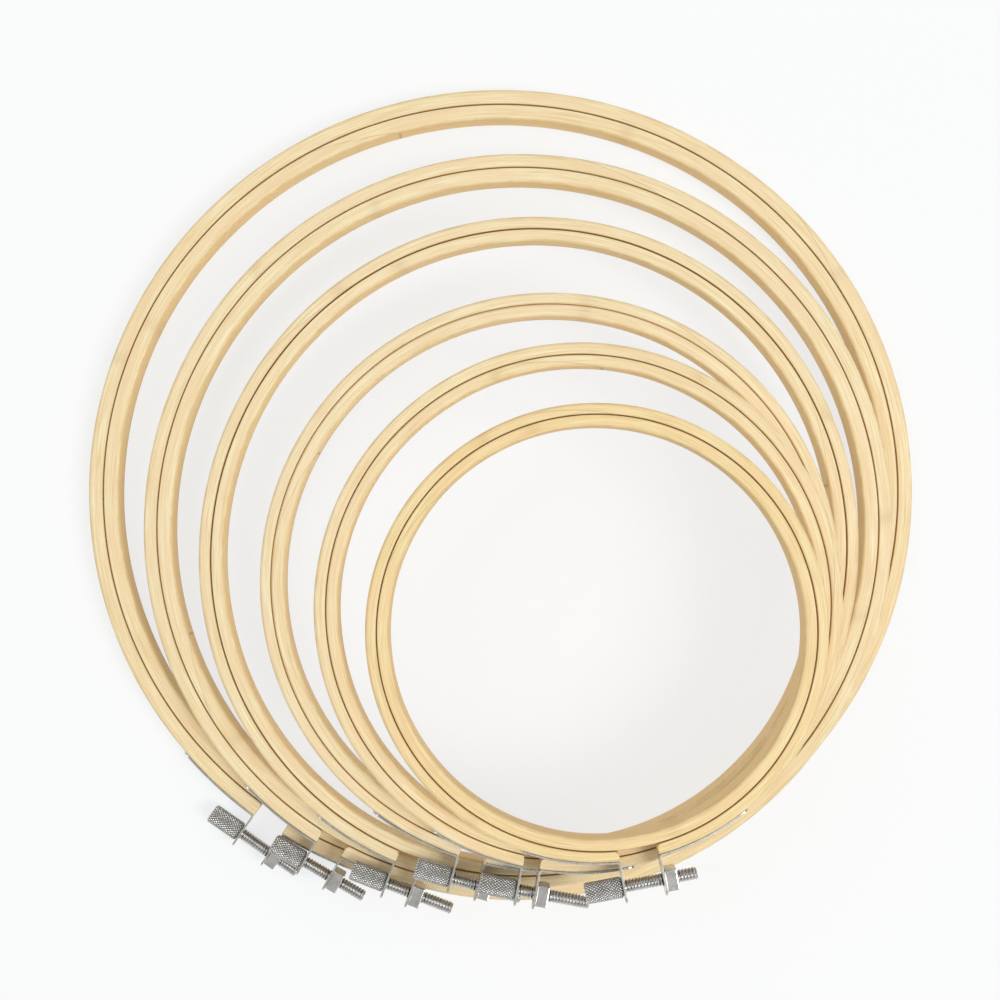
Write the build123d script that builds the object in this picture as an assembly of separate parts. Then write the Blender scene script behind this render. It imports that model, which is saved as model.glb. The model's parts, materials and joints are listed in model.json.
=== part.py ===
from build123d import *

import os
from dataclasses import dataclass
from math import asin, atan2, cos, hypot, pi, radians, sin

# A set of six round embroidery hoops, lying level one on another with the largest at the
# bottom. Each hoop is an inner ring and a split outer ring of bent bamboo. A sheet metal
# bracket is tacked to each end of the split, and a thumbscrew with a square nut draws the
# two brackets together. Millimetres, +Z up, origin under the middle of the set's box.
# Each hoop is drawn in its own frame, with its split towards +X and its screw along +Y,
# and is then turned and moved to its place in the stack.

# Rings, the same for all six hoops
ring_height = 9.0
ring_gap = 0.3
rim_round = 1.0
seam_round = 0.35
stack_gap = 0.05

# Hoop 1, the largest
hoop_1_seam_radius = 127.0
hoop_1_outer_wall = 4.7
hoop_1_inner_wall = 4.8
hoop_1_split_gap = 10.7
hoop_1_split_angle = -125.0
hoop_1_oval_share = 0.023
hoop_1_oval_angle = 1.6

# Hoop 2. A hoop's lie angle is the way it is shifted from the hoop below, and its edge
# lies this far past the seam of the hoop below, on that side.
hoop_2_seam_radius = 114.4
hoop_2_outer_wall = 4.3
hoop_2_inner_wall = 4.8
hoop_2_split_gap = 9.0
hoop_2_split_angle = -120.4
hoop_2_oval_share = 0.006
hoop_2_oval_angle = 27.0
hoop_2_lie_angle = -63.4
hoop_2_edge_past_seam = 4.15

# Hoop 3
hoop_3_seam_radius = 100.0
hoop_3_outer_wall = 3.75
hoop_3_inner_wall = 3.9
hoop_3_split_gap = 7.5
hoop_3_split_angle = -111.2
hoop_3_oval_share = 0.026
hoop_3_oval_angle = 66.0
hoop_3_lie_angle = -67.1
hoop_3_edge_past_seam = -2.1

# Hoop 4
hoop_4_seam_radius = 85.0
hoop_4_outer_wall = 3.5
hoop_4_inner_wall = 4.0
hoop_4_split_gap = 8.0
hoop_4_split_angle = -105.7
hoop_4_oval_share = 0.006
hoop_4_oval_angle = 12.0
hoop_4_lie_angle = -53.6
hoop_4_edge_past_seam = -0.75

# Hoop 5
hoop_5_seam_radius = 75.8
hoop_5_outer_wall = 3.6
hoop_5_inner_wall = 3.7
hoop_5_split_gap = 5.0
hoop_5_split_angle = -100.3
hoop_5_oval_share = 0.008
hoop_5_oval_angle = 47.0
hoop_5_lie_angle = -41.4
hoop_5_edge_past_seam = 5.6

# Hoop 6, the smallest, on top
hoop_6_seam_radius = 64.6
hoop_6_outer_wall = 3.3
hoop_6_inner_wall = 3.7
hoop_6_split_gap = 11.5
hoop_6_split_angle = -79.3
hoop_6_oval_share = 0.009
hoop_6_oval_angle = -1.0
hoop_6_lie_angle = -54.1
hoop_6_edge_past_seam = 0.8

# Brackets: a strip along the outer ring, bent outwards into an ear with a hole
sheet_thickness = 0.6
bracket_height = 7.6
strip_length = 28.0
ear_reach = 12.5
bend_inside_radius = 0.5
sheet_corner_radius = 2.2
screw_reach = 8.0
ear_hole_clearance = 0.3

# Tacks, two in each bracket
tack_near_distance = 9.0
tack_far_distance = 24.0
tack_head_diameter = 2.6
tack_head_height = 0.6
tack_head_round = 0.42
tack_shank_diameter = 1.1
tack_shank_length = 3.0
tack_tip_diameter = 0.275
tack_clearance = 0.04

# Thumbscrew: a threaded rod with a knurled barrel for a head. It lets the nut out by this
# many turns, with this much rod left over.
rod_diameter = 4.0
rod_chamfer = 0.5
thread_pitch = 1.0
loosening_turns = 4
rod_spare = 2.0
head_diameter = 6.3
head_length = 11.2
head_chamfer = 0.5
head_seat_gap = 0.1

# Square nut
nut_width = 6.5
nut_thickness = 3.6
nut_chamfer = 0.4
nut_bore_gap = 0.06
nut_seat_gap = 0.1

cut_overrun = 1.0


@dataclass
class Hoop:
    """Sizes and place of one hoop, with its split towards +X before it is placed."""

    number: int
    seam_radius: float
    outer_wall: float
    inner_wall: float
    split_gap: float
    split_angle: float
    oval_share: float
    oval_angle: float
    centre: Vector = Vector(0, 0, 0)

    @property
    def inner_face(self):
        """The outer ring's inner face, measured outwards from the seam."""
        return ring_gap / 2

    @property
    def outer_face(self):
        """The outer ring's outer face, measured outwards from the seam."""
        return self.inner_face + self.outer_wall

    @property
    def far(self):
        """A length that reaches past everything on this hoop."""
        return self.seam_radius + self.outer_face + ear_reach + head_length

    def radii(self, offset):
        """Long and short radius of the line that runs beside the seam."""
        half_oval = self.oval_share / 2
        long_radius = self.seam_radius * (1 + half_oval) + offset
        short_radius = self.seam_radius * (1 - half_oval) + offset
        return long_radius, short_radius

    def disc(self, offset):
        """Flat oval with its edge at this offset from the seam."""
        turn = self.oval_angle - self.split_angle
        return Ellipse(*self.radii(offset), rotation=turn)

    def wall_point(self, offset, angle):
        """Radius of the wall and direction of its normal, at a polar angle."""
        long_radius, short_radius = self.radii(offset)
        turn = radians(self.oval_angle - self.split_angle)
        along, across = cos(angle - turn), sin(angle - turn)
        radius = long_radius * short_radius / hypot(short_radius * along, long_radius * across)
        normal = turn + atan2(across / short_radius**2, along / long_radius**2)
        return radius, normal

    @property
    def screw_x(self):
        """How far the screw's axis lies from the hoop's centre."""
        return self.wall_point(self.outer_face, 0)[0] + screw_reach

    @property
    def place(self):
        return Location(self.centre, (0, 0, self.split_angle))


def side_rectangle(side, low, high, x_size, x_start):
    """Flat rectangle from x_start, between two distances from the X axis on one side."""
    middle = side * (low + high) / 2
    return Pos(x_start + x_size / 2, middle) * Rectangle(x_size, high - low)


def inner_ring(hoop):
    seam_side = -hoop.inner_face
    band = hoop.disc(seam_side) - hoop.disc(seam_side - hoop.inner_wall)
    ring = extrude(band, ring_height)
    ring = fillet(long_edges(hoop, ring)[:2], rim_round)
    return fillet(long_edges(hoop, ring)[-2:], seam_round)


def long_edges(hoop, solid):
    """The edges that run along the ring, shortest first."""
    edges = [edge for edge in solid.edges() if edge.length > hoop.seam_radius]
    return sorted(edges, key=lambda edge: edge.length)


def outer_arm(hoop, side):
    """One half of the outer ring, from its split to the flexing point opposite."""
    band = hoop.disc(hoop.outer_face) - hoop.disc(hoop.inner_face)
    half = side_rectangle(side, 0, hoop.far, 2 * hoop.far, -hoop.far)
    split = side_rectangle(side, -hoop.split_gap / 2, hoop.split_gap / 2, hoop.far, 0)
    arm = extrude((band & half) - split, ring_height)
    arm = fillet(long_edges(hoop, arm)[-2:], rim_round)
    split_face = arm.faces().filter_by(Axis.Y).sort_by(Axis.X)[-1]
    arm = fillet(list(split_face.edges()) + long_edges(hoop, arm)[:2], seam_round)
    for place in tack_places(hoop, side):
        arm -= place * pilot_hole()
    return arm


def tack_places(hoop, side):
    """Where each tack enters: on the bracket's strip, pointing outwards."""
    places = []
    for distance in (tack_near_distance, tack_far_distance):
        start = asin(hoop.split_gap / 2 / hoop.seam_radius)
        angle = side * (start + distance / hoop.seam_radius)
        radius, normal = hoop.wall_point(hoop.outer_face, angle)
        point = Vector(radius * cos(angle), radius * sin(angle), ring_height / 2)
        outwards = Vector(cos(normal), sin(normal), 0)
        places.append(Location(Plane(origin=point, z_dir=outwards)))
    return places


def pilot_hole():
    """Hole for a tack's shank, through the strip and into the wood."""
    depth = tack_shank_length - sheet_thickness + tack_clearance
    length = depth + sheet_thickness + cut_overrun
    radius = tack_shank_diameter / 2 + tack_clearance
    return Pos(0, 0, length / 2 - depth) * Cylinder(radius, length)


def tack():
    """A nail with a low domed head, its seat on the strip's outer surface."""
    seat = sheet_thickness + tack_clearance
    head = Pos(0, 0, seat + tack_head_height / 2) * Cylinder(tack_head_diameter / 2, tack_head_height)
    head = fillet(head.edges().sort_by(Axis.Z)[-1], tack_head_round)
    shank_radius = tack_shank_diameter / 2
    taper = tack_shank_diameter
    straight = tack_shank_length - taper
    shank = Pos(0, 0, seat - straight / 2) * Cylinder(shank_radius, straight)
    tip = Cone(tack_tip_diameter / 2, shank_radius, taper)
    tip = Pos(0, 0, seat - straight - taper / 2) * tip
    return head + shank + tip


def bracket(hoop, side):
    """Sheet metal strip along the outer ring, bent outwards into an ear."""
    strip_turn = asin(hoop.split_gap / 2 / hoop.seam_radius) + strip_length / hoop.seam_radius
    reach = 2 * hoop.far
    corner = (reach * cos(strip_turn), side * reach * sin(strip_turn))
    wedge = make_face(Polyline((0, 0), (reach, 0), corner, close=True))
    band = hoop.disc(hoop.outer_face + sheet_thickness) - hoop.disc(hoop.outer_face)
    half_gap = hoop.split_gap / 2
    strip = (band & wedge) - side_rectangle(side, -half_gap, half_gap, reach, 0)
    face_x = hoop.wall_point(hoop.outer_face, 0)[0]
    ear = side_rectangle(side, half_gap, half_gap + sheet_thickness, ear_reach + face_x / 2, face_x / 2)
    plan = strip + (ear - hoop.disc(hoop.outer_face))
    body = Pos(0, 0, (ring_height - bracket_height) / 2) * extrude(plan, bracket_height)

    upright = body.edges().filter_by(Axis.Z)
    bend_out = nearest(upright, Vector(face_x, side * half_gap, ring_height / 2))
    body = fillet(bend_out, bend_inside_radius + sheet_thickness)
    upright = body.edges().filter_by(Axis.Z)
    bend_in = nearest(
        upright,
        Vector(face_x + sheet_thickness, side * (half_gap + sheet_thickness), ring_height / 2),
    )
    body = fillet(bend_in, bend_inside_radius)

    ear_corners = body.edges().filter_by(Axis.Y).sort_by(Axis.X)[-2:]
    body = fillet(ear_corners, sheet_corner_radius)
    radius, _ = hoop.wall_point(hoop.outer_face, side * strip_turn)
    strip_end = Vector(radius * cos(strip_turn), side * radius * sin(strip_turn), ring_height / 2)
    end_face = nearest(body.faces(), strip_end)
    body = fillet(end_face.edges().filter_by(Axis.Z, reverse=True), sheet_corner_radius)

    hole = Cylinder(rod_diameter / 2 + ear_hole_clearance, hoop.split_gap + reach)
    body -= Pos(hoop.screw_x, 0, ring_height / 2) * Rot(90, 0, 0) * hole
    for place in tack_places(hoop, side):
        body -= place * pilot_hole()
    return body


def nearest(shapes, point):
    """The edge or face whose centre is nearest to a point."""
    return min(shapes, key=lambda shape: (shape.center() - point).length)


def along_screw(hoop, distance, solid):
    """Put a solid drawn along +Z on the screw's axis, from this distance along +Y."""
    return Pos(hoop.screw_x, distance, ring_height / 2) * Rot(-90, 0, 0) * solid


def thumbscrew(hoop):
    """Threaded rod and knurled barrel in one, drawn along +Z from the barrel's inner end."""
    rod = Cylinder(rod_diameter / 2, rod_length, align=(Align.CENTER, Align.CENTER, Align.MIN))
    rod = chamfer(rod.edges().sort_by(Axis.Z)[-1], rod_chamfer)
    barrel = Cylinder(head_diameter / 2, head_length, align=(Align.CENTER, Align.CENTER, Align.MAX))
    barrel = chamfer(barrel.edges().filter_by(GeomType.CIRCLE), head_chamfer)
    seat = -hoop.split_gap / 2 - sheet_thickness - head_seat_gap
    return along_screw(hoop, seat, rod + barrel)


def square_nut(hoop):
    """Square nut outside the second ear, drawn along +Z from its seat."""
    block = Box(nut_width, nut_width, nut_thickness, align=(Align.CENTER, Align.CENTER, Align.MIN))
    block = chamfer(block.edges().filter_by(Axis.Z), nut_chamfer)
    bore = Cylinder(rod_diameter / 2 + nut_bore_gap, 2 * nut_thickness + cut_overrun)
    seat = hoop.split_gap / 2 + sheet_thickness + nut_seat_gap
    return along_screw(hoop, seat, block - bore)


def hoop_parts(hoop):
    """Every node of one hoop, placed in the stack."""
    name = f"hoop_{hoop.number}"
    parts = {
        f"{name}_inner_ring": inner_ring(hoop),
        f"{name}_thumbscrew": thumbscrew(hoop),
        f"{name}_square_nut": square_nut(hoop),
    }
    for end, side in (("head", -1), ("nut", 1)):
        parts[f"{name}_outer_ring_{end}_end"] = outer_arm(hoop, side)
        parts[f"{name}_{end}_bracket"] = bracket(hoop, side)
        tacks = [place * tack() for place in tack_places(hoop, side)]
        parts[f"{name}_{end}_bracket_tacks"] = tacks[0] + tacks[1]
    return {node: hoop.place * solid for node, solid in parts.items()}


def stacked(hoops, lie_angles, edges_past_seam):
    """Lay each hoop level on the one below, shifted until its edge passes that seam."""
    for below, hoop, angle, past in zip(hoops, hoops[1:], lie_angles, edges_past_seam):
        shift = below.seam_radius + past - hoop.seam_radius - hoop.outer_face
        step = Vector(shift * cos(radians(angle)), shift * sin(radians(angle)), ring_height + stack_gap)
        hoop.centre = below.centre + step
    return hoops


hoops = stacked(
    [
        Hoop(1, hoop_1_seam_radius, hoop_1_outer_wall, hoop_1_inner_wall, hoop_1_split_gap,
             hoop_1_split_angle, hoop_1_oval_share, hoop_1_oval_angle),
        Hoop(2, hoop_2_seam_radius, hoop_2_outer_wall, hoop_2_inner_wall, hoop_2_split_gap,
             hoop_2_split_angle, hoop_2_oval_share, hoop_2_oval_angle),
        Hoop(3, hoop_3_seam_radius, hoop_3_outer_wall, hoop_3_inner_wall, hoop_3_split_gap,
             hoop_3_split_angle, hoop_3_oval_share, hoop_3_oval_angle),
        Hoop(4, hoop_4_seam_radius, hoop_4_outer_wall, hoop_4_inner_wall, hoop_4_split_gap,
             hoop_4_split_angle, hoop_4_oval_share, hoop_4_oval_angle),
        Hoop(5, hoop_5_seam_radius, hoop_5_outer_wall, hoop_5_inner_wall, hoop_5_split_gap,
             hoop_5_split_angle, hoop_5_oval_share, hoop_5_oval_angle),
        Hoop(6, hoop_6_seam_radius, hoop_6_outer_wall, hoop_6_inner_wall, hoop_6_split_gap,
             hoop_6_split_angle, hoop_6_oval_share, hoop_6_oval_angle),
    ],
    [hoop_2_lie_angle, hoop_3_lie_angle, hoop_4_lie_angle, hoop_5_lie_angle, hoop_6_lie_angle],
    [hoop_2_edge_past_seam, hoop_3_edge_past_seam, hoop_4_edge_past_seam,
     hoop_5_edge_past_seam, hoop_6_edge_past_seam],
)

# One length of rod serves all six: it passes through the widest split and holds the nut
# when that is let out
widest_split = max(hoop.split_gap for hoop in hoops)
through_brackets = head_seat_gap + widest_split + 2 * sheet_thickness + nut_seat_gap
nut_travel = loosening_turns * thread_pitch
rod_length = through_brackets + nut_thickness + nut_travel + rod_spare

parts = {}
for hoop in hoops:
    parts.update(hoop_parts(hoop))

# The origin goes under the middle of the box round the whole set
boxes = [part.bounding_box() for part in parts.values()]
low_x, high_x = min(box.min.X for box in boxes), max(box.max.X for box in boxes)
low_y, high_y = min(box.min.Y for box in boxes), max(box.max.Y for box in boxes)
low_z = min(box.min.Z for box in boxes)
to_origin = Pos(-(low_x + high_x) / 2, -(low_y + high_y) / 2, -low_z)

os.makedirs("parts", exist_ok=True)
for node, part in parts.items():
    export_step(to_origin * part, f"parts/{node}.step")
    print(node, round(part.volume, 1), "mm3,", len(part.solids()), "solid(s)")
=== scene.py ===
"""The looks of a stack of six bamboo embroidery hoops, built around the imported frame.

Sizes are in millimetres in each hoop's own frame: the hoop's centre is the origin, its split
lies towards +X and its screw runs along +Y, with the head at the -Y end. Meshes are written
in metres in the frame of the whole set.
"""

import json
import logging
import math
from dataclasses import dataclass
from enum import Enum
from typing import Optional, Union

import bpy
import numpy as np
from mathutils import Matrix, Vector


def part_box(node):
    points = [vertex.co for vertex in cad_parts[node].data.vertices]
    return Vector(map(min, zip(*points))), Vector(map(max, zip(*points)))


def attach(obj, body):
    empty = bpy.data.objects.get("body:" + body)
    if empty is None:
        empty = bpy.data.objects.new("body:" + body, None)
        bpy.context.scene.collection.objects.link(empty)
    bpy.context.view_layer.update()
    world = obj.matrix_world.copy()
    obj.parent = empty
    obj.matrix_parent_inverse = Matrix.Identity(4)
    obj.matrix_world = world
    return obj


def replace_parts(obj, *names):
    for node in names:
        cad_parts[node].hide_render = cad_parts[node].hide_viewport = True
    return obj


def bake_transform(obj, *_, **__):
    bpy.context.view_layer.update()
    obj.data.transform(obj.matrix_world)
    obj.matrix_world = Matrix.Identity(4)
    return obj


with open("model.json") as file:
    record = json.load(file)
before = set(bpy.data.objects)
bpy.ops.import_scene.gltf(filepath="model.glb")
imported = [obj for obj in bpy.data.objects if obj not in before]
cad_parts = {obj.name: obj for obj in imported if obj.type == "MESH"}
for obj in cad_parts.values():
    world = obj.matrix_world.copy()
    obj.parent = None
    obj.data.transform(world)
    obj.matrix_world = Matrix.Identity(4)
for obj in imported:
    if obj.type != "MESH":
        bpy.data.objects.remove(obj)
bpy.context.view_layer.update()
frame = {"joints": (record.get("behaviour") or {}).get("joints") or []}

MM = 0.001
TURN = 2 * math.pi
LOG = logging.getLogger("hoops")


class End(Enum):
    """The two ends of an outer ring, by the side of the split that each lies on."""

    HEAD = -1
    NUT = 1

    @property
    def word(self) -> str:
        """The end's name in pieces and bodies."""
        return self.name.lower()


# Shapes as whole arrays


def grid_quads(rows: int, columns: int, close_rows: bool, close_columns: bool) -> np.ndarray:
    """Quads of a grid whose point (i, j) has the number i * columns + j.

    Args:
        rows: how many rows of points.
        columns: how many points in a row.
        close_rows: whether the last row joins the first.
        close_columns: whether each row's last point joins its first.

    Returns:
        An array of four point numbers for each quad.
    """
    i = np.arange(rows if close_rows else rows - 1)[:, None]
    j = np.arange(columns if close_columns else columns - 1)[None, :]
    below, right = (i + 1) % rows, (j + 1) % columns
    corners = [i * columns + j, below * columns + j, below * columns + right, i * columns + right]
    return np.stack([np.broadcast_to(c, (i.size, j.size)).ravel() for c in corners], axis=1)


def smoothstep(value: np.ndarray) -> np.ndarray:
    """Zero below 0, one above 1, and 3v^2 - 2v^3 between."""
    v = np.clip(value, 0, 1)
    return v * v * (3 - 2 * v)


def ridge(value: np.ndarray) -> np.ndarray:
    """Rises from 0 to 1 and falls back in each unit: 1 - |2w - 1|, w past a whole number."""
    return 1 - np.abs(2 * (value % 1) - 1)


@dataclass
class Shell:
    """A surface: its points, its quads, the larger faces that close it and values at points."""

    points: np.ndarray
    quads: np.ndarray
    caps: tuple = ()
    values: Optional[dict[str, np.ndarray]] = None

    def joined(self, other: "Shell") -> "Shell":
        """One surface that holds this one and another.

        Args:
            other: the second surface, with the same named values.

        Returns:
            Both surfaces, the other's points after this one's.
        """
        shift = len(self.points)
        caps = self.caps + tuple([n + shift for n in cap] for cap in other.caps)
        names = self.values or {}
        values = {n: np.concatenate([names[n], other.values[n]]) for n in names}
        return Shell(np.vstack([self.points, other.points]),
                     np.vstack([self.quads, other.quads + shift]), caps, values)

    def moved(self, points: np.ndarray) -> "Shell":
        """The same faces and values on other points."""
        return Shell(points, self.quads, self.caps, self.values)


def turned(radius: np.ndarray, height: np.ndarray, hollow: Optional[np.ndarray] = None) -> Shell:
    """A surface of radius r(z, a) about the Z axis, closed by a flat face at each end.

    Row i, column j is (r cos a_j, r sin a_j, z_i) with a_j = 2 pi j / columns.

    Args:
        radius: radius of each point, (rows, columns).
        height: height of each row, rising.
        hollow: how deep in a groove each point lies, from 0 to 1, for painted shade there.

    Returns:
        The closed surface.
    """
    rows, columns = radius.shape
    angle = TURN * np.arange(columns) / columns
    points = np.stack([radius * np.cos(angle), radius * np.sin(angle),
                       np.broadcast_to(height[:, None], radius.shape)], axis=2).reshape(-1, 3)
    quads = grid_quads(rows, columns, False, True)[:, ::-1]
    bottom = list(range(columns))[::-1]
    top = list(range((rows - 1) * columns, rows * columns))
    values = {} if hollow is None else {"hollow": hollow.ravel()}
    return Shell(points, quads, (bottom, top), values)


def rounded_box_line(low: np.ndarray, high: np.ndarray, rounds: tuple, corner_steps: int,
                     side_steps: int) -> tuple[np.ndarray, np.ndarray]:
    """A rectangle's outline with rounded corners, anticlockwise from its low corner.

    Each corner is a quarter circle about a centre one radius in from both sides, and each
    side is divided evenly between two corners.

    Args:
        low: lowest corner, or an array of lowest corners, one for each station.
        high: highest corner, or an array of them.
        rounds: radii at the corners (low, low), (high, low), (high, high) and (low, high),
            each a number or an array over the stations.
        corner_steps: steps in each quarter circle.
        side_steps: steps along each side between the quarter circles.

    Returns:
        Points with the shape (stations, points, 2), and how far into a corner's round each
        point is, from 0 on the sides to 1 at the middle of the round.
    """
    low, high = np.atleast_2d(low), np.atleast_2d(high)
    corners = [(low[:, 0], low[:, 1], 1, 1), (high[:, 0], low[:, 1], -1, 1),
               (high[:, 0], high[:, 1], -1, -1), (low[:, 0], high[:, 1], 1, -1)]
    arcs = []
    for number, ((x, y, in_x, in_y), radius) in enumerate(zip(corners, rounds)):
        radius = np.broadcast_to(radius, x.shape)[:, None]
        angle = math.pi + number * math.pi / 2 + np.linspace(0, math.pi / 2, corner_steps + 1)
        arcs.append(np.stack([x[:, None] + in_x * radius + radius * np.cos(angle),
                              y[:, None] + in_y * radius + radius * np.sin(angle)], axis=2))
    share = (np.arange(1, side_steps) / side_steps)[None, :, None]
    line, into = [], []
    for arc, following in zip(arcs, arcs[1:] + arcs[:1]):
        side = arc[:, -1:] * (1 - share) + following[:, :1] * share
        line += [arc, side]
        into += [np.sin(np.linspace(0, math.pi, corner_steps + 1)), np.zeros(side_steps - 1)]
    return np.concatenate(line, axis=1), np.concatenate(into)


def build(name: str, shell: Shell, smooth: bool = True) -> bpy.types.Object:
    """Puts a surface, in metres in the set's frame, into a new object at the origin.

    Args:
        name: the object's name.
        shell: the surface, with its points already placed.
        smooth: whether its faces are shaded smoothly.

    Returns:
        The new object, linked to the scene.
    """
    mesh = bpy.data.meshes.new(name)
    faces = shell.quads.tolist() + [list(cap) for cap in shell.caps]
    mesh.from_pydata(shell.points.tolist(), [], faces)
    mesh.polygons.foreach_set("use_smooth", np.full(len(mesh.polygons), smooth))
    for key, value in (shell.values or {}).items():
        vector = value.ndim == 2
        layer = mesh.attributes.new(key, "FLOAT_VECTOR" if vector else "FLOAT", "POINT")
        layer.data.foreach_set("vector" if vector else "value", value.astype(np.float32).ravel())
    mesh.update()
    piece = bpy.data.objects.new(name, mesh)
    bpy.context.scene.collection.objects.link(piece)
    return piece


# Sizes that all six hoops share


@dataclass(frozen=True)
class RingStock:
    """The bent bamboo strips that every ring is made of, in millimetres.

    The glued joint slants across the wall over its length, and its two sides differ in grain
    within its window. A cane node is a faint band across the strip, one for each spacing.
    The least rounds are shares of a round: what is left of it at a ring's end, and at the
    seam where the two rings touch.
    """

    height: float = 9.0
    gap: float = 0.3
    rim_round: float = 1.0
    seam_round: float = 0.35
    least_seam_round: float = 0.4
    least_round: float = 0.125
    end_round: float = 1.3
    touch_angle: float = 150.0
    bend_share: float = 0.45
    unevenness: float = 0.13
    waves: tuple = (2, 5, 11)
    joint_length: float = 30.0
    joint_window: float = 70.0
    node_spacing: float = 215.0
    node_width: float = 2.2
    node_scatter: float = 0.25
    node_slant: float = 1.5
    # Widths over which the painted shade along the seam fades: from the seam's walls and from the
    # rims
    seam_shade_width: float = 0.24
    edge_line_width: float = 0.25
    # How far in from the inner wall its tan and painted shade reach
    inside_depth: float = 0.14
    step: float = 1.15
    end_steps: int = 9
    corner_steps: int = 5
    side_steps: int = 6


@dataclass(frozen=True)
class SheetStock:
    """The sheet metal brackets, in millimetres, and how finely each stretch is divided.

    The fine length is the last of the strip before the ear, where the sheet bends.
    """

    thickness: float = 0.6
    height: float = 7.6
    strip_length: float = 28.0
    ear_reach: float = 12.5
    bend_inside_radius: float = 0.5
    corner_radius: float = 2.2
    hole_diameter: float = 4.6
    edge_round: float = 0.12
    edge_steps: int = 2
    edge_angle: float = 50.0
    fine_length: float = 3.0
    fine_steps: int = 9
    strip_steps: int = 25
    path_points: int = 200
    bend_points: int = 24
    corner_points: int = 7
    ear_steps: int = 8
    tip_steps: int = 5
    rows: int = 12
    rings: int = 7
    ring_crowding: float = 1.3


@dataclass(frozen=True)
class TackStock:
    """The tacks that hold each bracket, in millimetres, by distance from the split's edge."""

    near: float = 9.0
    far: float = 24.0
    head_diameter: float = 2.6
    head_height: float = 0.6
    lip: float = 0.12
    sunk: float = 0.02
    pole_radius: float = 0.02
    rise_steps: int = 8
    steps: int = 32


@dataclass(frozen=True)
class ScrewStock:
    """The thumbscrew and its square nut, in millimetres."""

    rod_diameter: float = 4.0
    rod_length: float = 22.5
    rod_tip: float = 0.55
    thread_pitch: float = 1.0
    thread_depth: float = 0.42
    thread_power: float = 0.8
    # Painted shade in the thread's grooves
    thread_shade: float = 0.55
    rows_per_pitch: int = 10
    rod_steps: int = 40
    head_diameter: float = 6.3
    head_length: float = 11.2
    head_chamfer: float = 0.5
    head_seat_gap: float = 0.1
    diamonds_around: int = 20
    diamond_length: float = 1.15
    diamond_depth: float = 0.3
    diamond_flat: float = 1.6
    # Painted shade in the knurl's grooves
    knurl_shade: float = 1.1
    samples_per_diamond: int = 10
    nut_width: float = 6.5
    nut_thickness: float = 3.6
    nut_corner: float = 0.45
    nut_corner_steps: int = 5
    nut_side_steps: int = 8
    nut_chamfer: float = 0.3
    nut_bore_gap: float = 0.06
    nut_seat_gap: float = 0.1


RING, SHEET, TACK, SCREW = RingStock(), SheetStock(), TackStock(), ScrewStock()


@dataclass(frozen=True)
class Oval:
    """An oval line and the lines beside it, turned in the hoop's frame."""

    radius: float
    share: float
    turn: float

    def radii(self, offset: np.ndarray) -> tuple[np.ndarray, np.ndarray]:
        """Long and short radius of the line at an offset from the seam."""
        return (self.radius * (1 + self.share / 2) + offset,
                self.radius * (1 - self.share / 2) + offset)

    def point(self, t: np.ndarray, offset: np.ndarray) -> tuple[np.ndarray, np.ndarray]:
        """Point (a cos t, b sin t) of the line at an offset, turned by the oval's turn.

        Args:
            t: the oval's parameter.
            offset: distance outwards from the seam.

        Returns:
            Its x and y.
        """
        a, b = self.radii(offset)
        along, across = a * np.cos(t), b * np.sin(t)
        c, s = math.cos(self.turn), math.sin(self.turn)
        return along * c - across * s, along * s + across * c

    def crossing(self, y: np.ndarray, offset: np.ndarray) -> np.ndarray:
        """Parameter at which the line crosses a height y, on the split's side.

        y is C sin(t + d) with C = hypot(a sin turn, b cos turn) and d the angle whose
        tangent is a sin turn / (b cos turn), so t = asin(y / C) - d.

        Args:
            y: distance from the X axis.
            offset: distance outwards from the seam.

        Returns:
            The parameter t.
        """
        a, b = self.radii(offset)
        rise, run = a * math.sin(self.turn), b * math.cos(self.turn)
        return np.arcsin(y / np.hypot(rise, run)) - np.arctan2(rise, run)

    def wall(self, offset: float, angle: float) -> tuple[float, float]:
        """Radius of the wall and direction of its normal, at a polar angle.

        Args:
            offset: distance outwards from the seam.
            angle: polar angle in the hoop's frame.

        Returns:
            a b / hypot(b cos, a sin) of the angle less the turn, and the normal's angle.
        """
        a, b = self.radii(offset)
        along, across = math.cos(angle - self.turn), math.sin(angle - self.turn)
        normal = self.turn + math.atan2(across / b**2, along / a**2)
        return a * b / math.hypot(b * along, a * across), normal


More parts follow.
